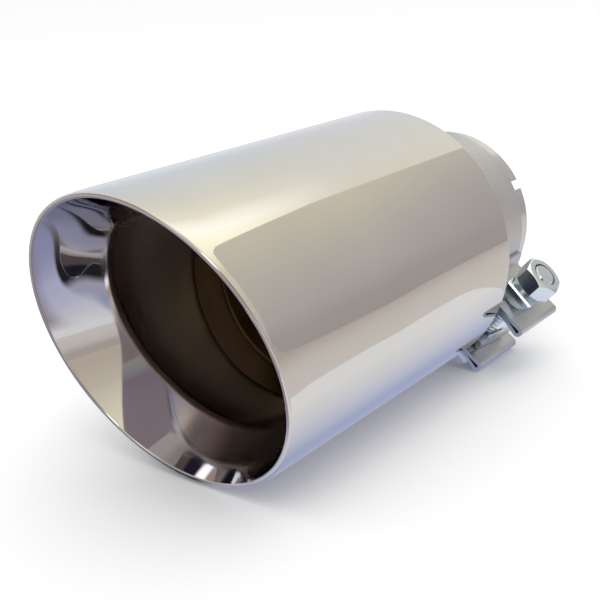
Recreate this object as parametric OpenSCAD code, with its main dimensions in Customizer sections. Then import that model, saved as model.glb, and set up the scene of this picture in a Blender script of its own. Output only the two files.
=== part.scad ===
// Exhaust tip: a round dual-wall tip with a slash-cut beveled mouth and a clamp-on inlet.
// Millimetres. The pipe axis lies along Y. The tailpipe enters at Y = 0 and the mouth opens
// towards -Y. Z is up, so the long side of the slash cut is on top.

/* [Outer shell] */
// Outside diameter of the outer shell
shell_d = 101.6; // [96:0.1:115]
// Wall of the outer shell
shell_wall = 1.2; // [0.8:0.1:1.5]
// Length of the outer shell along its axis, from the rear rim to the middle of the mouth
shell_len = 129.5; // [115:0.5:180]
// Slant of the mouth, measured from a square cut
slash_angle = 15; // [0:0.5:20]
// Radius of the rounded nose that the rim is ground to
nose_r = 1.3; // [1.25:0.05:1.6]

/* [Mouth bevel and inner sleeve] */
// Depth of the bevel along the axis, from the middle of the mouth to the middle of the throat
bevel_depth = 23.2; // [18:0.2:28]
// Slant of the throat, measured from a square cut
throat_angle = 20; // [0:0.5:25]
// Clear gap between the shell and the inner sleeve
liner_gap = 8.9; // [5:0.1:11]
// Wall of the bevel and of the inner sleeve
liner_wall = 1.2; // [0.8:0.1:1.5]
// Distance from the shell's rear rim to the front end of the inlet pipe
step_depth = 60.5; // [45:0.5:68]
// Length of the cone that joins the sleeve to the inlet pipe
cone_len = 9; // [6:0.5:12]
// Length of the sleeve's neck that laps over the inlet pipe
neck_len = 8; // [5:0.5:12]

/* [Inlet pipe] */
// Outside diameter of the inlet pipe
pipe_d = 69.85; // [64:0.05:72]
// Wall of the inlet pipe
pipe_wall = 1.5; // [1:0.1:2]
// How far the inlet pipe stands out behind the shell
pipe_out = 46.5; // [44:0.5:60]
// Number of slots round the end of the pipe
slot_count = 4; // [2:1:8]
// Width of each slot
slot_w = 3.7; // [2:0.1:5]
// Length of each slot
slot_len = 34; // [20:0.5:38]
// Angle of the first slot from the top, turning towards +X
slot_angle = 62.8; // [0:0.1:90]

/* [Rear cap and welds] */
// Wall of the rear cap
cap_wall = 1.5; // [1:0.1:2]
// Length of the collar that the cap turns inwards along the pipe
cap_collar = 7; // [4:0.5:12]
// How far the cap sits inside the shell's rear rim
cap_inset = 1.5; // [1:0.1:4]
// Leg of the weld bead round the pipe
pipe_bead = 2.4; // [1.5:0.1:3.5]
// Leg of the weld bead inside the shell's rear rim
shell_bead = 1.4; // [0.8:0.1:2]

/* [Clamp band] */
// Thickness of the strip
strip = 1.4; // [1:0.1:1.8]
// Width of the strip along the pipe
band_w = 30; // [26:0.5:31]
// Distance from the end of the pipe to the band
band_start = 7.5; // [3:0.5:8]
// Angle of the clamp's ears from straight down, turning towards +X
clamp_angle = 45.5; // [0:0.5:90]
// Clear distance between the two ears
ear_gap = 21.8; // [19:0.2:26]
// Distance from the pipe axis to the tip of each ear
ear_reach = 59.4; // [57:0.2:64]
// Outside thickness of the loop at the tip of each ear
loop_t = 4.2; // [3.8:0.1:5]
// Length over which an ear opens out into its loop
loop_len = 5.5; // [4:0.5:8]
// Inside radius of the bends at the root of an ear
root_bend = 0.9; // [0.6:0.1:1.4]
// Angle from the middle of the clamp to the free edge of each tail
tail_angle = 29; // [28:0.5:36]

/* [Clamp hardware] */
// Diameter of the bolt
bolt_d = 9.5; // [8:0.1:10]
// Distance from the pipe axis to the bolt axis
bolt_reach = 46.8; // [45.5:0.1:48]
// Diameter of the half-round bars
bar_d = 12.7; // [12:0.1:13.5]
// Length of the bars along the pipe
bar_len = 19; // [17:0.5:24]
// Chamfer on the ends of the bars
bar_chamfer = 0.6; // [0.2:0.1:1]
// Height of the spacer block between the ears
block_h = 8; // [7:0.2:10]
// Radius of the hollows in the spacer block
block_hollow_r = 8; // [7.5:0.1:10]
// Depth of the hollows in the spacer block
block_hollow = 1.9; // [1:0.1:2.2]
// Gap between the spacer block and the ear that it lies against
block_gap = 0.4; // [0.3:0.05:0.8]
// Angle by which the spacer block has turned on the bolt
block_turn = -5; // [-8:0.5:8]
// Width of the nut across its flats
nut_af = 14.3; // [13:0.1:15]
// Height of the nut
nut_h = 8.3; // [7:0.1:9]
// Diameter of the nut's washer face and of its chamfered top
nut_face_d = 13.6; // [12.4:0.1:13.8]
// Height of the washer face
nut_face_h = 0.8; // [0.4:0.1:1.2]
// Angle by which the nut has turned on the bolt
nut_turn = 20; // [0:1:60]
// How far the bolt end stands proud of the nut
bolt_proud = 0.3; // [0.1:0.1:6]
// Chamfer on the bolt end
bolt_chamfer = 1; // [0.4:0.1:1.5]

/* [Fits] */
// Gap between welded or seated pieces
seat_gap = 0.1; // [0.05:0.05:0.2]
// Gap between the two legs of an ear
leg_gap = 0.1; // [0.05:0.05:0.2]
// Gap between the bolt and each hole that it passes through, on the radius
bolt_gap = 0.35; // [0.2:0.05:0.6]

/* [Hidden] */
$fn = 128;

// Radii of the tubes
shell_r = shell_d / 2;
shell_in = shell_r - shell_wall;
sleeve_out = shell_in - liner_gap;
sleeve_in = sleeve_out - liner_wall;
pipe_r = pipe_d / 2;
pipe_in = pipe_r - pipe_wall;

// Places along the axis, as distances from the open end of the inlet pipe
rear_z = pipe_out;
rim_z = rear_z + shell_len;
throat_z = rim_z - bevel_depth;
step_z = rear_z + step_depth;
slash = tan(slash_angle);
throat_slash = tan(throat_angle);

// How far a cutting shape reaches past what it cuts
clear = 1;

// How far the crown of a weld bead stands from its corner, as a part of the bead's leg
bead_crown = 0.62;

// Clamp band: radii of its ring and of the tail that lies on it
band_in = pipe_r + seat_gap;
band_out = band_in + strip;
tail_in = band_out + seat_gap;
tail_out = tail_in + strip;

// Ears: places across the gap, from its middle
leg_in = ear_gap / 2;
ear_mid = leg_in + strip + leg_gap / 2;
ear_face = leg_in + 2 * strip + leg_gap;
loop_r = loop_t / 2;
loop_u = ear_reach - loop_r;
leg_u = loop_u - loop_len;
band_root = asin((leg_in + root_bend + strip) / (band_out + root_bend));
tail_root = asin((ear_face + root_bend) / (tail_out + root_bend));

// Number of straight pieces in each arc of the strip
tail_steps = 3;
root_steps = 6;
loop_steps = 18;
ring_steps = 80;

// Hardware
bolt_r = bolt_d / 2;
bolt_hole_r = bolt_r + bolt_gap;
bolt_z = band_start + band_w / 2;
bar_r = bar_d / 2;
bar_back = ear_face + seat_gap + bar_r;
nut_base = bar_back + seat_gap;
nut_top = nut_base + nut_h;

// Frame of the pipe: local Z runs from the open end of the inlet to the mouth, local Y is up.
module pipe_frame() {
    rotate([90, 0, 0]) children();
}

// Frame of the clamp: local X points from the pipe axis out along the ears, and local Y
// points across the gap to the ear that carries the nut.
module clamp_frame() {
    pipe_frame() rotate([0, 0, clamp_angle - 90]) children();
}

// Frame of the bolt: local Z runs along the bolt towards the nut, and local X along the pipe.
module bolt_frame() {
    clamp_frame() translate([bolt_reach, 0, bolt_z]) rotate([-90, 90, 0]) children();
}

// Slants a turned shape along the axis, so that its rim follows the slash cut.
module slanted() {
    multmatrix([
        [1, 0, 0, 0],
        [0, 1, 0, 0],
        [0, slash, 1, 0],
        [0, 0, 0, 1]
    ]) children();
}

// Everything on the mouth's side of the throat's slanted plane, which crosses the axis at z.
module beyond_throat(z) {
    side = 4 * shell_d;
    translate([0, 0, z]) rotate([throat_angle, 0, 0]) translate([-side / 2, -side / 2, 0]) cube(side);
}

// Points of a ring round the axis, in a slanted plane that crosses the axis at z.
function slanted_ring(r, z, slope) = [
    for (i = [0 : $fn - 1])
        let(a = i * 360 / $fn) [r * cos(a), r * sin(a), z + slope * r * sin(a)]
];

// A closed tube lofted through rings of points: each ring joins the next, and the last the first.
module lofted(rings) {
    n = len(rings[0]);
    m = len(rings);
    polyhedron(
        points = [for (ring = rings) each ring],
        faces = [
            for (i = [0 : m - 1], j = [0 : n - 1])
                let(a = i * n, b = (i + 1) % m * n, k = (j + 1) % n)
                each [[a + j, a + k, b + k], [a + j, b + k, b + j]]
        ]
    );
}

module tube(r_out, r_in, z0, z1) {
    translate([0, 0, z0]) difference() {
        cylinder(r = r_out, h = z1 - z0);
        translate([0, 0, -clear]) cylinder(r = r_in, h = z1 - z0 + 2 * clear);
    }
}

// Outer shell: a tube with a slash-cut mouth, whose rim is ground to a round nose.
module outer_shell() {
    under = slash * shell_r + clear;
    color("Gainsboro") pipe_frame() difference() {
        slanted() rotate_extrude() {
            translate([shell_in, rear_z - under]) square([shell_wall, rim_z - nose_r - rear_z + under]);
            translate([shell_r - nose_r, rim_z - nose_r]) intersection() {
                circle(r = nose_r);
                translate([-nose_r, 0]) square([2 * nose_r, nose_r]);
            }
        }
        translate([-shell_d, -shell_d, rear_z - 3 * under]) cube([2 * shell_d, 2 * shell_d, 3 * under]);
    }
}

// Mouth bevel: a sheet that runs straight from the nose of the slanted rim to the throat, whose
// slant is steeper.
module mouth_bevel() {
    lip_z = rim_z - nose_r - seat_gap;
    lip_in = shell_r - 2 * nose_r;
    lip_out = min(lip_in + liner_wall, shell_in - seat_gap);
    color("LightSteelBlue") pipe_frame() lofted([
        slanted_ring(lip_in, lip_z, slash),
        slanted_ring(lip_out, lip_z, slash),
        slanted_ring(sleeve_out, throat_z, throat_slash),
        slanted_ring(sleeve_in, throat_z, throat_slash)
    ]);
}

// Inner sleeve: a tube from the slanted throat, necked down to lap over the inlet pipe.
module inner_sleeve() {
    neck_in = pipe_r + seat_gap;
    color("DimGray") pipe_frame() difference() {
        rotate_extrude() polygon([
            [neck_in, step_z - neck_len],
            [neck_in + liner_wall, step_z - neck_len],
            [neck_in + liner_wall, step_z],
            [sleeve_out, step_z + cone_len],
            [sleeve_out, rim_z],
            [sleeve_in, rim_z],
            [sleeve_in, step_z + cone_len],
            [neck_in, step_z]
        ]);
        beyond_throat(throat_z - seat_gap);
    }
}

// Inlet pipe: the pipe that the tailpipe slides into, slotted so that the clamp can close it.
module inlet_pipe() {
    color("Silver") pipe_frame() difference() {
        tube(pipe_r, pipe_in, 0, step_z - seat_gap);
        for (i = [0 : slot_count - 1]) rotate([0, 0, 90 - slot_angle - i * 360 / slot_count]) slot();
    }
}

// One slot, open at the end of the pipe and round at its inner end.
module slot() {
    translate([0, 0, slot_len - slot_w / 2]) rotate([0, 90, 0]) cylinder(d = slot_w, h = pipe_r + clear);
    translate([0, -slot_w / 2, -clear]) cube([pipe_r + clear, slot_w, slot_len - slot_w / 2 + clear]);
}

// Rear cap: a pressed ring that closes the shell round the pipe, with a collar along the pipe.
module rear_cap() {
    face_z = rear_z + cap_inset;
    edge = shell_in - seat_gap;
    collar_in = pipe_r + seat_gap;
    color("Silver") pipe_frame() {
        rotate_extrude() {
            translate([collar_in, face_z]) square([edge - collar_in, cap_wall]);
            translate([collar_in, face_z]) square([cap_wall, cap_collar]);
        }
    }
}

// A fillet bead in the corner of two turned faces: leg is signed along the radius.
module bead(r, z, leg) {
    side = abs(leg);
    crown = bead_crown * side;
    rotate_extrude() translate([r, z]) mirror([leg < 0 ? 1 : 0, 0]) polygon([
        [0, 0],
        [side, 0],
        [crown, -crown],
        [0, -side]
    ]);
}

module shell_weld() {
    color("LightSlateGray") pipe_frame()
        bead(shell_in - seat_gap, rear_z + cap_inset - seat_gap, -shell_bead);
}

module pipe_weld() {
    color("LightSlateGray") pipe_frame()
        bead(pipe_r + seat_gap, rear_z + cap_inset - seat_gap, pipe_bead);
}

function ray(a) = [cos(a), sin(a)];

// Points along an arc of the strip's middle line, each with the unit vector to the strip's
// left side. The arc turns right where side is 1 and left where it is -1.
function bend(c, r, a0, a1, steps, side) = [
    for (i = [0 : steps])
        let(a = a0 + (a1 - a0) * i / steps) [c + r * ray(a), side * ray(a)]
];

// Half of the strip's middle line, from the free end of a tail to the band: the tail, its root
// bend, a leg, the loop at the ear's tip, the other leg and the band's root bend.
function ear_path() =
    let(
        bend_r = root_bend + strip / 2,
        loop_mid = loop_r - strip / 2,
        leg = (leg_gap + strip) / 2,
        lean = asin((loop_mid - leg) / loop_len)
    )
    concat(
        bend([0, 0], tail_in + strip / 2, tail_angle, tail_root, tail_steps, 1),
        bend((tail_out + root_bend) * ray(tail_root), bend_r, 180 + tail_root, 270, root_steps, -1),
        [[[leg_u, ear_mid + leg], ray(90 + lean / 2)]],
        bend([loop_u, ear_mid], loop_mid, 90 + lean, -90 - lean, loop_steps, 1),
        [[[leg_u, ear_mid - leg], ray(-90 - lean / 2)]],
        bend((band_out + root_bend) * ray(band_root), bend_r, 270, 180 + band_root, root_steps, 1)
    );

function mirrored(path) = [
    for (i = [len(path) - 1 : -1 : 0])
        let(p = path[i]) [[p[0][0], -p[0][1]], [p[1][0], -p[1][1]]]
];

// The whole strip, seen along the pipe: ear, band and second ear.
module strip_outline() {
    ear = ear_path();
    ring = bend([0, 0], band_in + strip / 2, band_root, 360 - band_root, ring_steps, -1);
    path = concat(ear, [for (i = [1 : len(ring) - 2]) ring[i]], mirrored(ear));
    left = [for (p = path) p[0] + p[1] * strip / 2];
    right = [for (i = [len(path) - 1 : -1 : 0]) path[i][0] - path[i][1] * strip / 2];
    polygon(concat(left, right));
}

// Clamp band: one strip round the pipe, with an ear folded at each end and a bolt hole in each.
module clamp_band() {
    color("DarkGray") difference() {
        clamp_frame() translate([0, 0, band_start]) linear_extrude(height = band_w) strip_outline();
        bolt_frame() translate([0, 0, -2 * ear_face]) cylinder(r = bolt_hole_r, h = 4 * ear_face);
    }
}

// A bar with chamfered ends, lying along local X with its axis at the origin.
module round_bar() {
    waist = bar_len - 2 * bar_chamfer;
    rotate([0, 90, 0]) {
        cylinder(r = bar_r, h = waist, center = true);
        translate([0, 0, waist / 2]) cylinder(r1 = bar_r, r2 = bar_r - bar_chamfer, h = bar_chamfer);
        mirror([0, 0, 1]) translate([0, 0, waist / 2])
            cylinder(r1 = bar_r, r2 = bar_r - bar_chamfer, h = bar_chamfer);
    }
}

// A half-round bar whose round side looks along local -Z and whose flat side is at z = 0.
module half_bar() {
    half = bar_len / 2;
    intersection() {
        round_bar();
        rotate([90, 0, 0]) linear_extrude(height = bar_d, center = true) polygon([
            [-half, -bar_r],
            [half, -bar_r],
            [half, -bar_chamfer],
            [half - bar_chamfer, 0],
            [bar_chamfer - half, 0],
            [-half, -bar_chamfer]
        ]);
    }
}

module bolt_hole(z0, z1) {
    translate([0, 0, z0]) cylinder(r = bolt_hole_r, h = z1 - z0);
}

// Nut saddle: the half-round bar between the nut and the near ear.
module nut_saddle() {
    color("LightSteelBlue") bolt_frame() translate([0, 0, bar_back]) difference() {
        half_bar();
        bolt_hole(-2 * bar_r, bar_r);
    }
}

// Spacer block: a loose block on the bolt against the far ear, hollowed on both faces.
module spacer_block() {
    foot = block_hollow_r - block_hollow;
    color("LightSteelBlue") bolt_frame()
        translate([0, 0, block_gap - leg_in]) rotate([0, 0, block_turn]) difference() {
            translate([-bar_len / 2, -bar_r, 0]) cube([bar_len, bar_d, block_h]);
            translate([0, 0, -foot]) hollow();
            translate([0, 0, block_h + foot]) hollow();
            bolt_hole(-clear, block_h + clear);
        }
}

module hollow() {
    rotate([0, 90, 0]) cylinder(r = block_hollow_r, h = 2 * bar_len, center = true);
}

// Clamp bolt: its head is a half-round bar that rocks in the far ear and can't turn.
module clamp_bolt() {
    tip = nut_top + bolt_proud;
    color("LightGray") bolt_frame() {
        translate([0, 0, -bar_back]) mirror([0, 0, 1]) half_bar();
        translate([0, 0, -bar_back + bar_chamfer])
            cylinder(r = bolt_r, h = tip - bolt_chamfer + bar_back - bar_chamfer);
        translate([0, 0, tip - bolt_chamfer])
            cylinder(r1 = bolt_r, r2 = bolt_r - bolt_chamfer, h = bolt_chamfer);
    }
}

// Clamp nut: a chamfered hex nut with a round washer face.
module clamp_nut() {
    corner_r = nut_af / 2 / cos(30);
    face_r = nut_face_d / 2;
    over_r = corner_r + clear;
    fall = (over_r - face_r) * tan(30);
    color("WhiteSmoke") bolt_frame() translate([0, 0, nut_base]) difference() {
        intersection() {
            rotate([0, 0, nut_turn]) cylinder(r = corner_r, h = nut_h, $fn = 6);
            rotate_extrude() polygon([
                [0, -clear],
                [face_r, -clear],
                [face_r, nut_face_h],
                [over_r, nut_face_h + fall],
                [over_r, nut_h - fall],
                [face_r, nut_h],
                [0, nut_h + face_r * tan(30)]
            ]);
        }
        translate([0, 0, -clear]) cylinder(r = bolt_r + seat_gap, h = nut_h + 2 * clear);
    }
}

outer_shell();
mouth_bevel();
inner_sleeve();
inlet_pipe();
rear_cap();
shell_weld();
pipe_weld();
clamp_band();
nut_saddle();
spacer_block();
clamp_bolt();
clamp_nut();
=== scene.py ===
"""Looks for the exhaust tip: polished dual-wall tip, inlet pipe and its flat-band clamp.

Everything is in metres in the part's own frame: the pipe axis lies along Y, the mouth opens
towards -Y and Z is up.
"""

import math

import bmesh
import bpy
import numpy as np
from mathutils import Matrix, Vector


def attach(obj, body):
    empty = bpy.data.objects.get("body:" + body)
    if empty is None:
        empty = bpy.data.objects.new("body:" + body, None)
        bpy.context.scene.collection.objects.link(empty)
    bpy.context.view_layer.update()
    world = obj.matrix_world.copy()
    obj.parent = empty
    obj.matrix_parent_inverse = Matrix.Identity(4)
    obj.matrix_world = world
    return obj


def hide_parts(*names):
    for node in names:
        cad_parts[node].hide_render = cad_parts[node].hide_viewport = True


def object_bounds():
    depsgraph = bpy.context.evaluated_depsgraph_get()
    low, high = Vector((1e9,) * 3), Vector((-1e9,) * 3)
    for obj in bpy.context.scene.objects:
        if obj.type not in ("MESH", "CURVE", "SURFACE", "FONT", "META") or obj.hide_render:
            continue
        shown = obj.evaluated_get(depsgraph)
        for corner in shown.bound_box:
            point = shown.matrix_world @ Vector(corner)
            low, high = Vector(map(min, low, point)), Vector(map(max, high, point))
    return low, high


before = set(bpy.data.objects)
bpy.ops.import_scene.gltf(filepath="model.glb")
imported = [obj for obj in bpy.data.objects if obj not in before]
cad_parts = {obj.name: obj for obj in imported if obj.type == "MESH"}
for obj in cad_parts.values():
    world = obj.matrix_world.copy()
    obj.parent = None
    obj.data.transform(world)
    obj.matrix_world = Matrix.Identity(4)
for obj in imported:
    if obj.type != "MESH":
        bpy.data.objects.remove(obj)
cad_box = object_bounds()

MM = 0.001

# Sizes in millimetres. "Along" is the distance from the inlet's open end. The nose, the throat and its
# slant differ a little from the solids, as the reflections in the photo ask.
SHELL_R = 50.8
SHELL_WALL = 1.2
REAR = 46.5
RIM = REAR + 129.5
NOSE_R = 0.95
EASE_RUN = 10.0
EASE_IN = 0.32
SLASH = math.tan(math.radians(15))
THROAT_R = 38.7
THROAT = RIM - 23.2
THROAT_SLASH = math.tan(math.radians(17.5))
THROAT_SHARE = THROAT_SLASH / SLASH
THROAT_END = THROAT - 1.6
BEND = 8.0
BEVEL_SLOPE = math.radians(24.8)
LINER_R = 39.5
LINER_WALL = 1.2
PIPE_R = 34.925
SEAT_GAP = 0.1
STEP = REAR + 60.5
CONE_LEN = 9.0
NECK_LEN = 8.0

# The bevel's flatter side: how much flatter, and where it lies round the mouth, in degrees.
BEVEL_FLAT = 0.3
FLAT_AT = 152
FLAT_SPREAD = 17
FLAT_FROM_R = 49.4

CLAMP_ANGLE = math.radians(45.5)
BOLT_R = 4.75
BOLT_REACH = 46.8
BOLT_ALONG = 22.5
BOLT_TIP = 28.95
BOLT_CHAMFER = 1.0
BAR_R = 6.35
BAR_LEN = 19.0
BAR_BACK = 20.25
BAR_CHAMFER = 0.6
PITCH = 1.5875
THREAD_DEPTH = 0.62
WELD_RIPPLES = 150


# Meshes


def add_mesh(name, verts, faces, sharp_angle=35.0):
    """A smooth-shaded mesh object in the part's frame, from points in millimetres."""
    mesh = bpy.data.meshes.new(name)
    mesh.from_pydata([tuple(c * MM for c in v) for v in verts], [], faces)
    mesh.validate()
    mesh.update()
    mesh.shade_smooth()
    mesh.set_sharp_from_angle(angle=math.radians(sharp_angle))
    obj = bpy.data.objects.new(name, mesh)
    bpy.context.scene.collection.objects.link(obj)
    return obj


def grid_faces(rows, cols, closed_rows=False, closed_cols=True, offset=0):
    """Quads between rows of points: each row is a ring of cols points."""
    faces = []
    for i in range(rows if closed_rows else rows - 1):
        for j in range(cols if closed_cols else cols - 1):
            a = i * cols + j
            b = i * cols + (j + 1) % cols
            c = ((i + 1) % rows) * cols + (j + 1) % cols
            d = ((i + 1) % rows) * cols + j
            faces.append((a + offset, b + offset, c + offset, d + offset))
    return faces


def turned(name, profile, steps=288, slant=0.0, sharp_angle=35.0, swell=None):
    """A closed profile of (radius, along) pairs, turned round the pipe axis.

    slant slides each point along the axis by its height, as the slash cut does; a profile
    point may carry its own share of the slant as a third number. swell(angle, radius) adds
    to the radius.
    """
    verts = []
    for point in profile:
        r, along = point[0], point[1]
        share = point[2] if len(point) > 2 else 1.0
        for k in range(steps):
            a = 2 * math.pi * k / steps
            at = r + swell(a, r) if swell else r
            x, z = at * math.cos(a), at * math.sin(a)
            verts.append((x, -(along + slant * share * z), z))
    return add_mesh(name, verts, grid_faces(len(profile), steps, closed_rows=True), sharp_angle)


def arc(centre, radius, start, end, steps):
    """Profile points on an arc; angles in degrees from the +radius direction to +along."""
    points = []
    for k in range(steps + 1):
        a = math.radians(start + (end - start) * k / steps)
        points.append((centre[0] + radius * math.cos(a), centre[1] + radius * math.sin(a)))
    return points


# The clamp's directions: out along the ears, across the gap to the nut, and along the pipe.
OUT = Vector((math.sin(CLAMP_ANGLE), 0, -math.cos(CLAMP_ANGLE)))
ACROSS = Vector((math.cos(CLAMP_ANGLE), 0, math.sin(CLAMP_ANGLE)))
BACK = Vector((0, 1, 0))


def at_bolt(x, y, z):
    """A point in the bolt's frame: z towards the nut, x along the pipe, y towards the pipe."""
    p = OUT * (BOLT_REACH - y) + BACK * (x - BOLT_ALONG) + ACROSS * z
    return (p.x, p.y, p.z)


# Materials


def new_material(name):
    mat = bpy.data.materials.new(name)
    mat.use_nodes = True
    nodes = mat.node_tree.nodes
    return mat, nodes, mat.node_tree.links, nodes["Principled BSDF"]


def pipe_coordinates(nodes, links):
    """Object coordinates as (angle round the pipe axis, radius, distance along)."""
    coords = nodes.new("ShaderNodeTexCoord")
    split = nodes.new("ShaderNodeSeparateXYZ")
    links.new(coords.outputs["Object"], split.inputs[0])
    angle = nodes.new("ShaderNodeMath")
    angle.operation = "ARCTAN2"
    links.new(split.outputs["Z"], angle.inputs[0])
    links.new(split.outputs["X"], angle.inputs[1])
    joined = nodes.new("ShaderNodeCombineXYZ")
    links.new(angle.outputs[0], joined.inputs["X"])
    links.new(split.outputs["Y"], joined.inputs["Z"])
    return joined.outputs[0], coords.outputs["Object"]


def noise(nodes, links, vector, scale, detail=3.0, stretch=(1, 1, 1), roughness=0.5):
    mapping = nodes.new("ShaderNodeMapping")
    mapping.inputs["Scale"].default_value = stretch
    links.new(vector, mapping.inputs["Vector"])
    tex = nodes.new("ShaderNodeTexNoise")
    tex.inputs["Scale"].default_value = scale
    tex.inputs["Detail"].default_value = detail
    tex.inputs["Roughness"].default_value = roughness
    links.new(mapping.outputs[0], tex.inputs["Vector"])
    return tex.outputs["Fac"]


def ramp(nodes, links, fac, stops):
    node = nodes.new("ShaderNodeValToRGB")
    links.new(fac, node.inputs["Fac"])
    while len(node.color_ramp.elements) < len(stops):
        node.color_ramp.elements.new(0.5)
    for element, (place, colour) in zip(node.color_ramp.elements, stops):
        element.position = place
        element.color = (*colour, 1) if len(colour) == 3 else colour
    return node.outputs["Color"]


def scaled(nodes, links, fac, low, high):
    """A factor from 0 to 1 spread between low and high."""
    node = nodes.new("ShaderNodeMapRange")
    node.inputs["To Min"].default_value = low
    node.inputs["To Max"].default_value = high
    links.new(fac, node.inputs["Value"])
    return node.outputs["Result"]


def share(nodes, links, value, low, high, smooth=True, top=1.0):
    """0 at low and below, top at high and above."""
    node = nodes.new("ShaderNodeMapRange")
    node.interpolation_type = "SMOOTHSTEP" if smooth else "LINEAR"
    node.inputs["From Min"].default_value = low
    node.inputs["From Max"].default_value = high
    node.inputs["To Max"].default_value = top
    links.new(value, node.inputs["Value"])
    return node.outputs["Result"]


def math_of(nodes, links, operation, *values):
    """A math node on sockets and plain numbers."""
    node = nodes.new("ShaderNodeMath")
    node.operation = operation
    for value, socket in zip(values, node.inputs):
        if isinstance(value, (int, float)):
            socket.default_value = value
        else:
            links.new(value, socket)
    return node.outputs[0]


def blend(nodes, links, fac, first, second, blend_type="MIX"):
    """Two colours mixed by fac, which is a socket or a plain number."""
    node = nodes.new("ShaderNodeMix")
    node.data_type = "RGBA"
    node.blend_type = blend_type
    if isinstance(fac, float):
        node.inputs[0].default_value = fac
    else:
        links.new(fac, node.inputs[0])
    links.new(first, node.inputs[6])
    links.new(second, node.inputs[7])
    return node.outputs[2]


def object_place(nodes, links):
    """Object coordinates: the vector, its Y, and its distance from the pipe axis."""
    coords = nodes.new("ShaderNodeTexCoord")
    split = nodes.new("ShaderNodeSeparateXYZ")
    links.new(coords.outputs["Object"], split.inputs[0])
    across = nodes.new("ShaderNodeVectorMath")
    across.operation = "MULTIPLY"
    across.inputs[1].default_value = (1, 0, 1)
    links.new(coords.outputs["Object"], across.inputs[0])
    length = nodes.new("ShaderNodeVectorMath")
    length.operation = "LENGTH"
    links.new(across.outputs[0], length.inputs[0])
    return coords.outputs["Object"], split.outputs["Y"], length.outputs["Value"]


def bump(nodes, links, height, strength, distance):
    node = nodes.new("ShaderNodeBump")
    node.inputs["Strength"].default_value = strength
    node.inputs["Distance"].default_value = distance
    links.new(height, node.inputs["Height"])
    return node.outputs["Normal"]


def metal(name, dark, light, rough, scale=40.0, stretch=(1, 1, 1), round_pipe=False,
          bump_strength=0.0, bump_distance=0.0001, detail=4.0):
    """A metal whose colour and roughness vary a little with noise, with a fine bump."""
    mat, nodes, links, bsdf = new_material(name)
    turned_at, flat_at = pipe_coordinates(nodes, links)
    vector = turned_at if round_pipe else flat_at
    grain = noise(nodes, links, vector, scale, detail, stretch)
    cloud = noise(nodes, links, flat_at, 30.0, 2.0)
    links.new(ramp(nodes, links, cloud, [(0.3, dark), (0.7, light)]), bsdf.inputs["Base Color"])
    links.new(scaled(nodes, links, grain, *rough), bsdf.inputs["Roughness"])
    bsdf.inputs["Metallic"].default_value = 1.0
    if bump_strength:
        links.new(bump(nodes, links, grain, bump_strength, bump_distance), bsdf.inputs["Normal"])
    return mat


POLISHED = metal("polished_steel", (0.60, 0.59, 0.575), (0.625, 0.615, 0.60), (0.025, 0.05),
                 scale=60.0, stretch=(1, 1, 12), round_pipe=True)


def bevel_metal():
    """Polished like the shell, and duller where the sheet rolls into the sleeve."""
    mat = metal("polished_bevel_steel", (0.56, 0.55, 0.56), (0.60, 0.59, 0.60), (0.02, 0.05),
                scale=60.0, stretch=(1, 1, 12), round_pipe=True)
    nodes, links = mat.node_tree.nodes, mat.node_tree.links
    rough = nodes["Principled BSDF"].inputs["Roughness"]
    polish = rough.links[0].from_socket
    _, _, radius = object_place(nodes, links)
    dull = share(nodes, links, radius, (THROAT_R + 1.7) * MM, (THROAT_R + 0.1) * MM, top=0.13)
    links.new(math_of(nodes, links, "ADD", polish, dull), rough)
    return mat


BEVEL = bevel_metal()


def sleeve_metal():
    """Turned steel, with painted shade darkening it brown from the cone inwards, and dulled by oxide
    between throat and cone.
    """
    mat = metal("dark_turned_steel", (0.66, 0.58, 0.52), (0.78, 0.70, 0.62), (0.14, 0.28),
                scale=9.0, stretch=(0.6, 1, 130), round_pipe=True, bump_strength=0.14,
                bump_distance=0.0001, detail=6.0)
    nodes, links = mat.node_tree.nodes, mat.node_tree.links
    bsdf = nodes["Principled BSDF"]
    unshaded = bsdf.inputs["Base Color"].links[0].from_socket
    where, y, _ = object_place(nodes, links)
    cone = STEP + CONE_LEN
    depth = share(nodes, links, y, -(cone + 22) * MM, -(STEP - 1) * MM, smooth=False)
    # painted shade: the colour turns dark brown from the cone inwards, standing for the dim inside of
    # the tube
    deep_shade = ramp(nodes, links, depth, [(0.0, (1.0, 1.0, 1.0)), (0.68, (0.9, 0.83, 0.72)),
                                      (0.7, (0.27, 0.24, 0.19)), (1.0, (0.3, 0.26, 0.19))])
    links.new(blend(nodes, links, 1.0, unshaded, deep_shade, "MULTIPLY"), bsdf.inputs["Base Color"])
    # distance along, measured square to the slanted throat
    lean = nodes.new("ShaderNodeVectorMath")
    lean.operation = "DOT_PRODUCT"
    lean.inputs[1].default_value = (0, -1, -THROAT_SLASH)
    links.new(where, lean.inputs[0])
    behind = share(nodes, links, lean.outputs["Value"], (THROAT - 2) * MM, (THROAT - 16) * MM, top=0.08)
    ahead = share(nodes, links, y, -cone * MM, -(cone + 3) * MM)
    oxide = math_of(nodes, links, "MULTIPLY", behind, ahead)
    links.new(math_of(nodes, links, "SUBTRACT", 1.0, oxide), bsdf.inputs["Metallic"])
    return mat


SLEEVE = sleeve_metal()


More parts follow.
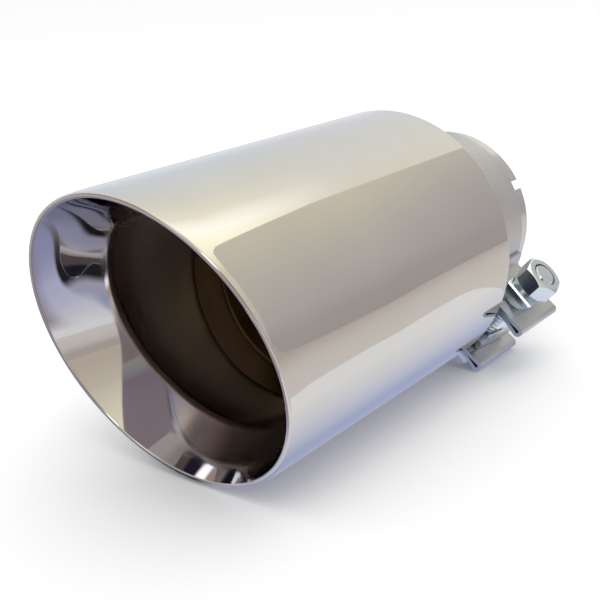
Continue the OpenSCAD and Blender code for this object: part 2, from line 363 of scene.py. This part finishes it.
def pipe_metal():
    """Pale drawn steel outside; in the bore and inside the tip, a dark brown that is painted shade of
    the tube's dim inside.
    """
    mat = metal("pipe_steel", (0.57, 0.58, 0.59), (0.66, 0.67, 0.68), (0.12, 0.24),
                scale=12.0, stretch=(0.8, 1, 60), round_pipe=True, bump_strength=0.15)
    nodes, links = mat.node_tree.nodes, mat.node_tree.links
    colour = nodes["Principled BSDF"].inputs["Base Color"]
    pale = colour.links[0].from_socket
    where, y, radius = object_place(nodes, links)
    outside = share(nodes, links, radius, (PIPE_R - 0.9) * MM, (PIPE_R - 0.5) * MM, smooth=False)
    out_of_tip = share(nodes, links, y, -(REAR + 8) * MM, -(REAR + 4) * MM, smooth=False)
    unshaded = math_of(nodes, links, "MULTIPLY", outside, out_of_tip)
    # painted shade: the bore and the pipe inside the tip get a dark brown, mottled a little, for the
    # shade inside the tube
    mottle = noise(nodes, links, where, 26.0, 4.0)
    bore_shade = ramp(nodes, links, mottle, [(0.3, (0.10, 0.078, 0.045)), (0.7, (0.16, 0.125, 0.08))])
    links.new(blend(nodes, links, unshaded, bore_shade, pale), colour)
    return mat


PIPE = pipe_metal()
# painted shade: the rear cap is coloured dark so that the shell's flank reflects it dim, as the shade
# round the tip's rear end
SHADED_CAP = metal("cap_steel", (0.19, 0.20, 0.24), (0.26, 0.27, 0.31), (0.2, 0.36), scale=60.0,
            bump_strength=0.1)


def weld_metal():
    """Weld bead: the pool's ripples follow each other round the pipe."""
    mat = metal("weld_metal", (0.34, 0.32, 0.31), (0.5, 0.48, 0.46), (0.25, 0.5), scale=160.0)
    nodes, links = mat.node_tree.nodes, mat.node_tree.links
    turned_at, flat_at = pipe_coordinates(nodes, links)
    uneven = noise(nodes, links, flat_at, 90.0, 2.0)
    split = nodes.new("ShaderNodeSeparateXYZ")
    links.new(turned_at, split.inputs[0])
    jitter = scaled(nodes, links, uneven, 0.0, 9.0)
    phase = math_of(nodes, links, "MULTIPLY_ADD", split.outputs["X"], WELD_RIPPLES, jitter)
    ripple = math_of(nodes, links, "SINE", phase)
    normal = nodes["Principled BSDF"].inputs["Normal"]
    links.new(bump(nodes, links, ripple, 0.5, 0.0002), normal)
    return mat


WELD = weld_metal()
BAND = metal("band_steel", (0.44, 0.455, 0.475), (0.56, 0.575, 0.60), (0.34, 0.5), scale=300.0,
             bump_strength=0.25, bump_distance=0.00015)
ZINC = metal("bright_zinc", (0.60, 0.68, 0.74), (0.74, 0.81, 0.86), (0.12, 0.26), scale=220.0,
             bump_strength=0.12, bump_distance=0.0001)

# The tip


def eased_r(along):
    """Outside radius of the shell: it draws in a little over the last stretch before the nose."""
    t = max(0.0, (along - (RIM - NOSE_R - EASE_RUN)) / EASE_RUN)
    return SHELL_R - EASE_IN * t ** 2.6


def shell_profile():
    nose = RIM - NOSE_R
    rim_r, bore_r = eased_r(nose), SHELL_R - SHELL_WALL
    outside = [(SHELL_R - 0.25, REAR, 0), (SHELL_R - 0.07, REAR + 0.07, 0), (SHELL_R, REAR + 0.25, 0),
               (SHELL_R, REAR + 0.5, 0), (SHELL_R, REAR + 30, 0), (SHELL_R, RIM - 28)]
    outside += [(eased_r(nose - 12 + 0.5 * k), nose - 12 + 0.5 * k) for k in range(24)]
    round_nose = arc((rim_r - NOSE_R, nose), NOSE_R, 4, 180, 20)
    inside = [(rim_r - 2 * NOSE_R, nose - 0.05), (bore_r, nose - 0.05), (bore_r, RIM - 30),
              (bore_r, REAR + 0.3, 0), (bore_r + 0.1, REAR, 0)]
    return outside + round_nose + inside


shell = turned("outer_shell_skin", shell_profile(), slant=SLASH)
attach(shell, "root")
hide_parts("outer_shell")
shell.data.materials.append(POLISHED)


def bevel_profile():
    """The bevel's sheet: straight from the nose, then rolled on a wide bend into the sleeve's bore."""
    sin, cos = math.sin(BEVEL_SLOPE), math.cos(BEVEL_SLOPE)
    nose_r, nose = eased_r(RIM - NOSE_R) - NOSE_R, RIM - NOSE_R
    lip_r, lip = nose_r - NOSE_R * cos, nose + NOSE_R * sin
    run = BEND * math.tan(BEVEL_SLOPE / 2)
    corner = lip - (lip_r - THROAT_R) / math.tan(BEVEL_SLOPE)
    first_r, first = THROAT_R + run * sin, corner + run * cos
    line = [(lip_r + 0.05 * sin, lip + 0.05 * cos)]
    line += [(lip_r + (first_r - lip_r) * k / 8, lip + (first - lip) * k / 8) for k in range(1, 9)]
    for k in range(1, 25):
        a = BEVEL_SLOPE * (1 - k / 24)
        line.append((THROAT_R + BEND * (1 - math.cos(a)), corner - run + BEND * math.sin(a)))
    line.append((THROAT_R, corner - run - 0.8))
    inner = []
    for r, z in line:
        depth = min(1.0, max(0.0, (lip - z) / (lip - THROAT)))
        inner.append((r, z, 1 + (THROAT_SHARE - 1) * depth))
    outer = [(r + LINER_WALL, z, slant) for r, z, slant in reversed(inner)]
    outer[-1] = (nose_r, nose, 1.0)
    return inner + outer


def bevel_swell(angle, r):
    """The sheet is not a perfect cone: its upper left is a little flatter half way in."""
    width = FLAT_FROM_R - THROAT_R
    t = min(1.0, max(0.0, (FLAT_FROM_R - r) / width))
    side = math.exp(-((math.degrees(angle) - FLAT_AT) / FLAT_SPREAD) ** 2)
    return -width * BEVEL_FLAT * side * math.sin(2 * math.pi * t) / (2 * math.pi)


bevel = turned("mouth_bevel_skin", bevel_profile(), slant=SLASH, swell=bevel_swell)
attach(bevel, "root")
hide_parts("mouth_bevel")
bevel.data.materials.append(BEVEL)


def sleeve_profile():
    """The sleeve: a straight bore from the throat, a cone and the neck over the inlet pipe."""
    neck, bore, cone = PIPE_R + SEAT_GAP, THROAT_R + 0.05, STEP + CONE_LEN
    inner = [
        (neck, STEP - NECK_LEN, 0), (neck, STEP - 0.4, 0), (neck + 0.05, STEP, 0),
        (neck + 0.3, STEP + 0.5, 0), (THROAT_R - 0.3, cone - 0.5, 0), (THROAT_R - 0.05, cone, 0),
        (bore, cone + 0.6, 0), (bore, cone + 3, 0), (bore, THROAT_END - 3, THROAT_SHARE),
        (bore, THROAT_END, THROAT_SHARE),
    ]
    outer = []
    for r, z, slant in reversed(inner):
        base = max(r, LINER_R) if r > PIPE_R + 0.5 else r
        outer.append((base + LINER_WALL, z, slant))
    return inner + outer


sleeve = turned("inner_sleeve_skin", sleeve_profile(), slant=SLASH)
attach(sleeve, "root")
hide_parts("inner_sleeve")
sleeve.data.materials.append(SLEEVE)


def half_bar_rings():
    """Outlines of the T-head, a half-round bar with its flat side away from the ear."""
    half, waist = BAR_LEN / 2, BAR_LEN / 2 - BAR_CHAMFER
    end_r = BAR_R - BAR_CHAMFER
    rings = []
    for x, r, flat in ((-half, end_r, BAR_CHAMFER), (-waist, BAR_R, 0.0), (waist, BAR_R, 0.0),
                       (half, end_r, BAR_CHAMFER)):
        low = math.asin(flat / r)
        turn = [low + (math.pi - 2 * low) * k / 32 for k in range(33)]
        rings.append([at_bolt(x, r * math.cos(a), -BAR_BACK + r * math.sin(a)) for a in turn])
    return rings


def thread_r(angle, z):
    """Radius of the rolled thread: crests at the bolt's own radius, cut off by the chamfered end."""
    phase = (z / PITCH - angle / (2 * math.pi)) % 1
    groove = min(1.0, max(0.0, 1.25 - 2.5 * abs(phase - 0.5)))
    return min(BOLT_R - THREAD_DEPTH * groove, BOLT_R - BOLT_CHAMFER + (BOLT_TIP - z))


def thread_rings():
    start, around, per_turn = BAR_R / 2 - BAR_BACK, 48, 10
    length = BOLT_TIP - start
    count = math.ceil(length / PITCH * per_turn)
    turn = [2 * math.pi * k / around for k in range(around)]
    rings = []
    for i in range(count + 1):
        z = start + length * i / count
        radii = [thread_r(a, z) for a in turn]
        rings.append([at_bolt(r * math.cos(a), r * math.sin(a), z) for a, r in zip(turn, radii)])
    return rings


def capped(rings, offset):
    """Points and faces of a closed body through rings of points, with a flat cap at each end."""
    cols = len(rings[0])
    verts = [v for ring in rings for v in ring]
    faces = grid_faces(len(rings), cols, offset=offset)
    faces.append(tuple(offset + k for k in range(cols)))
    faces.append(tuple(offset + len(verts) - 1 - k for k in range(cols)))
    return verts, faces


def threaded_bolt():
    head_verts, head_faces = capped(half_bar_rings(), 0)
    rod_verts, rod_faces = capped(thread_rings(), len(head_verts))
    obj = add_mesh("clamp_bolt_skin", head_verts + rod_verts, head_faces + rod_faces)
    mesh = bmesh.new()
    mesh.from_mesh(obj.data)
    bmesh.ops.recalc_face_normals(mesh, faces=mesh.faces)
    mesh.to_mesh(obj.data)
    mesh.free()
    return obj


bolt = threaded_bolt()
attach(bolt, "root")
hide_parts("clamp_bolt")
bolt.data.materials.append(ZINC)

# the solids that keep their own meshes
for node, mat in (
    ("inlet_pipe", PIPE), ("rear_cap", SHADED_CAP), ("shell_weld", WELD), ("pipe_weld", WELD),
    ("clamp_band", BAND), ("nut_saddle", ZINC), ("spacer_block", ZINC), ("clamp_nut", ZINC),
):
    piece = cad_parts[node]
    piece.data.materials.clear()
    piece.data.materials.append(mat)

# The studio


def card_material(name):
    """An empty material for a card, and the world place of each point on it, in millimetres."""
    mat = bpy.data.materials.new(name)
    mat.use_nodes = True
    nodes, links = mat.node_tree.nodes, mat.node_tree.links
    nodes.clear()
    coords = nodes.new("ShaderNodeTexCoord")
    scale = nodes.new("ShaderNodeVectorMath")
    scale.operation = "SCALE"
    scale.inputs["Scale"].default_value = 1 / MM
    links.new(coords.outputs["Object"], scale.inputs[0])
    split = nodes.new("ShaderNodeSeparateXYZ")
    links.new(scale.outputs[0], split.inputs[0])
    return mat, nodes, links, split.outputs


def glow(mat, nodes, links, colour):
    """Finish a card: a plain emission of a fixed colour or of one worked out by nodes."""
    out = nodes.new("ShaderNodeOutputMaterial")
    emission = nodes.new("ShaderNodeEmission")
    if isinstance(colour, tuple):
        emission.inputs["Color"].default_value = (*colour, 1)
    else:
        links.new(colour, emission.inputs["Color"])
    links.new(emission.outputs[0], out.inputs["Surface"])
    return mat


def stepped(nodes, links, value, stops):
    """A colour that follows value through stops of (value, colour)."""
    low, high = stops[0][0], stops[-1][0]
    fac = share(nodes, links, value, low, high, smooth=False)
    return ramp(nodes, links, fac, [((v - low) / (high - low), c) for v, c in stops])


def degrees_round(nodes, links, place):
    """The angle round the pipe axis of a point on a card, in degrees from +X towards +Z."""
    return math_of(nodes, links, "DEGREES", math_of(nodes, links, "ARCTAN2", place["Z"], place["X"]))


def studio_card(obj, mat):
    """A card that only reflections show: it lights nothing and no camera sees it."""
    obj.data.materials.append(mat)
    obj.visible_camera = False
    obj.visible_diffuse = False
    obj.visible_shadow = False
    obj.visible_transmission = False
    return obj


def curved_card(name, low, high, y0, y1, mat, radius, steps=90):
    """A strip of a cylinder round the pipe axis, from angle low to high in degrees."""
    verts = []
    for k in range(steps + 1):
        a = math.radians(low + (high - low) * k / steps)
        for y in (y0, y1):
            verts.append((radius * math.cos(a), y, radius * math.sin(a)))
    faces = [(2 * k, 2 * k + 1, 2 * k + 3, 2 * k + 2) for k in range(steps)]
    return studio_card(add_mesh(name, verts, faces), mat)


FLOOR = cad_box[0][2] / MM
WALL_R = 1000.0
FOOT = math.degrees(math.asin(FLOOR / WALL_R))
ROOM_FRONT, ROOM_BACK = -3000, 5000

# Where one zone of the room or of the table passes into the next, as places on Y.
FAR_FROM = (760, 1150)
BESIDE_FROM = (-150, -220)
FRONT_FROM = (-540, -570)
AHEAD_FROM = (-1300, -1500)
UNDER_FROM = (-171, -167)
CLOSE_FROM = (-182, -196)
TABLE_AHEAD_FROM = (-222, -232)
PANEL_FAR_FROM = (1000, 1600)


def wall_material():
    """The room round the tip, as colours by angle: pale, with cream lamplight low over the side
    panel, darker ahead of the mouth but for one strip light, and pale again far ahead."""
    mat, nodes, links, place = card_material("card_room")
    angle = degrees_round(nodes, links, place)
    near = stepped(nodes, links, angle, [
        (-10, (0.62, 0.56, 0.53)), (50, (0.95, 0.87, 0.70)), (66, (1.5, 1.42, 1.1)),
        (74, (1.58, 1.51, 1.17)), (84, (1.66, 1.62, 1.45)), (91, (1.5, 1.46, 1.28)),
        (98, (1.24, 1.18, 0.97)), (113, (1.05, 1.03, 0.91)), (130, (0.95, 0.96, 0.92)),
        (154, (0.82, 0.87, 0.94)), (172, (0.84, 0.9, 0.96)), (186, (0.93, 0.96, 1.02))])
    far = stepped(nodes, links, angle, [
        (-10, (0.62, 0.56, 0.53)), (76, (1.06, 1.00, 0.86)), (84, (1.05, 1.00, 0.88)),
        (100, (1.02, 1.00, 0.92)), (130, (0.92, 0.92, 0.89)), (156, (0.82, 0.84, 0.88)),
        (174, (0.84, 0.87, 0.91)), (186, (0.95, 0.97, 1.02))])
    beside = stepped(nodes, links, angle, [
        (-10, (0.70, 0.61, 0.50)), (5, (0.72, 0.63, 0.51)), (22, (0.80, 0.73, 0.60)),
        (40, (1.0, 0.93, 0.72)), (60, (1.13, 1.06, 0.76)), (80, (1.1, 1.05, 0.9)),
        (186, (0.93, 0.96, 1.02))])
    front = stepped(nodes, links, angle, [
        (-10, (0.2, 0.155, 0.16)), (12, (0.19, 0.145, 0.15)), (18, (0.03, 0.025, 0.05)),
        (37, (0.03, 0.025, 0.05)), (41, (3.0, 3.05, 3.1)), (51, (3.0, 3.05, 3.1)),
        (55, (0.85, 0.66, 0.58)), (67, (0.8, 0.62, 0.54)), (72, (0.9, 0.75, 0.62)),
        (77, (1.35, 1.28, 1.0)), (96, (1.1, 1.05, 0.85)), (110, (0.47, 0.38, 0.37)),
        (186, (0.48, 0.38, 0.38))])
    ahead = stepped(nodes, links, angle, [
        (-10, (0.5, 0.46, 0.46)), (40, (1.0, 0.93, 0.78)), (84, (1.0, 0.93, 0.78)),
        (112, (0.5, 0.41, 0.4)), (186, (0.48, 0.38, 0.38))])
    colour = near
    for zone, edge in ((far, FAR_FROM), (beside, BESIDE_FROM), (front, FRONT_FROM), (ahead, AHEAD_FROM)):
        colour = blend(nodes, links, share(nodes, links, place["Y"], *edge), colour, zone)
    return glow(mat, nodes, links, colour)


curved_card("card_room", FOOT, 180 - FOOT, ROOM_FRONT, ROOM_BACK, wall_material(), WALL_R)


def end_card():
    """A wall that closes the room ahead of the mouth."""
    mat, nodes, links, _ = card_material("card_end")
    glow(mat, nodes, links, (0.8, 0.74, 0.66))
    y = ROOM_FRONT + 10
    corners = [(-WALL_R, y, FLOOR), (WALL_R, y, FLOOR), (WALL_R, y, WALL_R), (-WALL_R, y, WALL_R)]
    studio_card(add_mesh("card_end", corners, [(0, 1, 2, 3)]), mat)


end_card()


def floor_material():
    """The pale table as the tip reflects it, as colours by X, with the shade under its mouth."""
    mat, nodes, links, place = card_material("card_table")
    across = stepped(nodes, links, place["X"], [
        (-400, (0.95, 0.97, 1.02)), (-120, (0.5, 0.5, 0.65)), (-60, (0.33, 0.33, 0.55)),
        (-24, (0.40, 0.42, 0.62)), (-8, (0.6, 0.625, 0.85)), (11, (0.68, 0.685, 0.87)),
        (43, (0.9, 0.9, 0.93)), (66, (1.0, 1.0, 1.0)), (200, (1.0, 1.0, 1.0))])
    under = stepped(nodes, links, place["X"], [
        (-400, (0.95, 0.97, 1.02)), (-120, (0.5, 0.5, 0.65)), (-60, (0.3, 0.3, 0.45)),
        (-42, (0.2, 0.18, 0.2)), (-32, (0.10, 0.08, 0.09)), (-16, (0.02, 0.02, 0.02)),
        (-3, (0.02, 0.02, 0.02)), (5, (0.5, 0.5, 0.6)), (24, (0.42, 0.46, 0.66)),
        (36, (0.46, 0.51, 0.74)), (46, (0.66, 0.7, 0.86)), (58, (0.86, 0.86, 0.95)),
        (68, (0.94, 0.94, 0.98)), (80, (1.03, 1.03, 1.03)), (200, (1.05, 1.05, 1.03))])
    close = stepped(nodes, links, place["X"], [
        (-100, (0.34, 0.28, 0.33)), (30, (0.34, 0.28, 0.33)), (60, (1.0, 1.0, 1.0))])
    ahead = stepped(nodes, links, place["X"], [
        (-500, (0.68, 0.63, 0.53)), (-150, (0.6, 0.57, 0.56)), (-90, (0.53, 0.49, 0.56)),
        (-60, (0.46, 0.38, 0.45)), (200, (0.6, 0.52, 0.5))])
    colour = across
    for zone, edge in ((under, UNDER_FROM), (close, CLOSE_FROM), (ahead, TABLE_AHEAD_FROM)):
        colour = blend(nodes, links, share(nodes, links, place["Y"], *edge), colour, zone)
    return glow(mat, nodes, links, colour)


def flat_card(name, outline, lift, mat):
    """A card lying on the floor, from its outline of (x, y)."""
    verts = [(x, y, FLOOR + lift) for x, y in outline]
    return studio_card(add_mesh(name, verts, [tuple(range(len(verts)))]), mat)


TABLE_X = 1500
TABLE = [(-TABLE_X, ROOM_FRONT), (TABLE_X, ROOM_FRONT), (TABLE_X, 3000), (-TABLE_X, 3000)]
flat_card("card_table", TABLE, 0.2, floor_material())

# A beige mat on the table at the tip's right, its edge a free curve.
MAT_EDGE = [
    (96, -600), (84, -230), (80, -150), (98, -125), (100, -108), (103, -80), (104, -55), (102, -33),
    (105, 0), (104, 22), (99, 29), (88, 28), (75, 24), (66, 18), (64, 60), (90, 3000),
]


def mat_material():
    mat, nodes, links, place = card_material("card_mat")
    return glow(mat, nodes, links, stepped(nodes, links, place["X"], [
        (90, (0.86, 0.81, 0.77)), (160, (0.80, 0.745, 0.70)), (235, (0.68, 0.62, 0.56)),
        (300, (0.6, 0.54, 0.5))]))


flat_card("card_mat", MAT_EDGE + [(TABLE_X, 3000), (TABLE_X, -600)], 0.4, mat_material())

# The side panel: its foot on the table as (x, y), and its near edge up the wall as (degrees, y).
PANEL_FOOT = [
    (1300, 560), (700, 330), (508, 178), (400, 105), (340, 84), (312, 92), (276, 98), (258, 112),
    (246, 130), (252, 160), (262, 206), (258, 250), (240, 300), (260, 3000),
]
PANEL_EDGE = [
    (FOOT, 470), (0, 500), (10, 530), (30, 525), (50, 525), (60, 535), (65, 552), (68, 590),
    (70.5, 650), (72, 720), (73.4, 780), (75, 850), (76.5, 930), (77.8, 1000), (77, 1110),
    (75.6, 1220), (75.4, 1400), (75.0, 1700), (75.0, ROOM_BACK),
]


def panel_material():
    mat, nodes, links, place = card_material("card_panel")
    angle = degrees_round(nodes, links, place)
    near = stepped(nodes, links, angle, [
        (-12, (0.50, 0.455, 0.445)), (0, (0.53, 0.49, 0.475)), (12, (0.61, 0.57, 0.55)),
        (42, (0.71, 0.675, 0.60)), (68, (0.84, 0.78, 0.64)), (78, (0.86, 0.80, 0.67))])
    far = stepped(nodes, links, angle, [
        (-12, (0.50, 0.465, 0.455)), (0, (0.51, 0.47, 0.465)), (12, (0.54, 0.50, 0.50)),
        (42, (0.60, 0.57, 0.55)), (68, (0.70, 0.66, 0.60)), (78, (0.74, 0.70, 0.62))])
    distance = share(nodes, links, place["Y"], *PANEL_FAR_FROM)
    return glow(mat, nodes, links, blend(nodes, links, distance, near, far))


PANEL = panel_material()
flat_card("card_panel_foot", PANEL_FOOT + [(1300, 3000)], 0.6, PANEL)


def panel_card():
    """The side panel standing along the wall, its near and upper edges rounded into each other."""
    verts = []
    for angle, y in PANEL_EDGE:
        a = math.radians(angle)
        for at in (y, ROOM_BACK):
            verts.append(((WALL_R - 5) * math.cos(a), at, (WALL_R - 5) * math.sin(a)))
    faces = [(2 * k, 2 * k + 1, 2 * k + 3, 2 * k + 2) for k in range(len(PANEL_EDGE) - 2)]
    return studio_card(add_mesh("card_panel", verts, faces), PANEL)


panel_card()


def card_bore_shade(radius=33.0, y=12.0, around=48):
    """A dim brown disc behind the inlet that only reflections show: painted shade, so that the bore
    shows a dim brown.
    """
    mat, nodes, links, _ = card_material("card_bore_shade")
    glow(mat, nodes, links, (0.26, 0.20, 0.10))
    turn = [2 * math.pi * k / around for k in range(around)]
    ring = [(radius * math.cos(a), y, radius * math.sin(a)) for a in turn]
    studio_card(add_mesh("card_bore_shade", ring, [tuple(range(around))]), mat)


card_bore_shade()

bpy.ops.mesh.primitive_plane_add(size=12, location=(0, 0, (FLOOR - 0.1) * MM))
floor = bpy.context.object
floor.name = "floor"
floor_mat, _, _, floor_bsdf = new_material("floor")
floor_bsdf.inputs["Base Color"].default_value = (0.97, 0.97, 0.97, 1)
floor_bsdf.inputs["Roughness"].default_value = 1.0
floor_bsdf.inputs["Specular IOR Level"].default_value = 0.0
floor.data.materials.append(floor_mat)

# A plain white world, and a softbox above for the shadow.
world = bpy.data.worlds.new("studio")
bpy.context.scene.world = world
world.use_nodes = True
world_nodes = world.node_tree.nodes
world_nodes.clear()
world_out = world_nodes.new("ShaderNodeOutputWorld")
white = world_nodes.new("ShaderNodeBackground")
white.inputs["Color"].default_value = (1, 1, 1, 1)
white.inputs["Strength"].default_value = 1.0
world.node_tree.links.new(white.outputs[0], world_out.inputs["Surface"])

light_data = bpy.data.lights.new("softbox", "AREA")
light_data.shape = "RECTANGLE"
light_data.size = 1.2
light_data.size_y = 0.9
light_data.energy = 6.0
softbox = bpy.data.objects.new("softbox", light_data)
softbox.location = (0.5, -0.5, 1.4)
to_tip = Vector((0, -0.1, 0)) - softbox.location
softbox.rotation_euler = to_tip.to_track_quat("-Z", "Y").to_euler()
softbox.visible_glossy = False
bpy.context.scene.collection.objects.link(softbox)

# The camera

# As fitted to the photo: its place in metres, and where the picture's right and top point.
CAMERA_AT = Vector((0.212154, -0.367233, 0.109720))
CAMERA_RIGHT = Vector((0.78886121, 0.61180791, -0.05821579))
CAMERA_UP = Vector((-0.15589105, 0.29082904, 0.94398964))

cam_data = bpy.data.cameras.new("camera")
cam_data.sensor_width = 36.0
cam_data.lens = 61.362
cam_data.clip_start = 0.01
camera = bpy.data.objects.new("camera", cam_data)
turn = Matrix((CAMERA_RIGHT, CAMERA_UP, CAMERA_RIGHT.cross(CAMERA_UP))).transposed().to_4x4()
camera.matrix_world = Matrix.Translation(CAMERA_AT) @ turn
bpy.context.scene.collection.objects.link(camera)
bpy.context.scene.camera = camera
bpy.context.scene.view_settings.view_transform = "Standard"
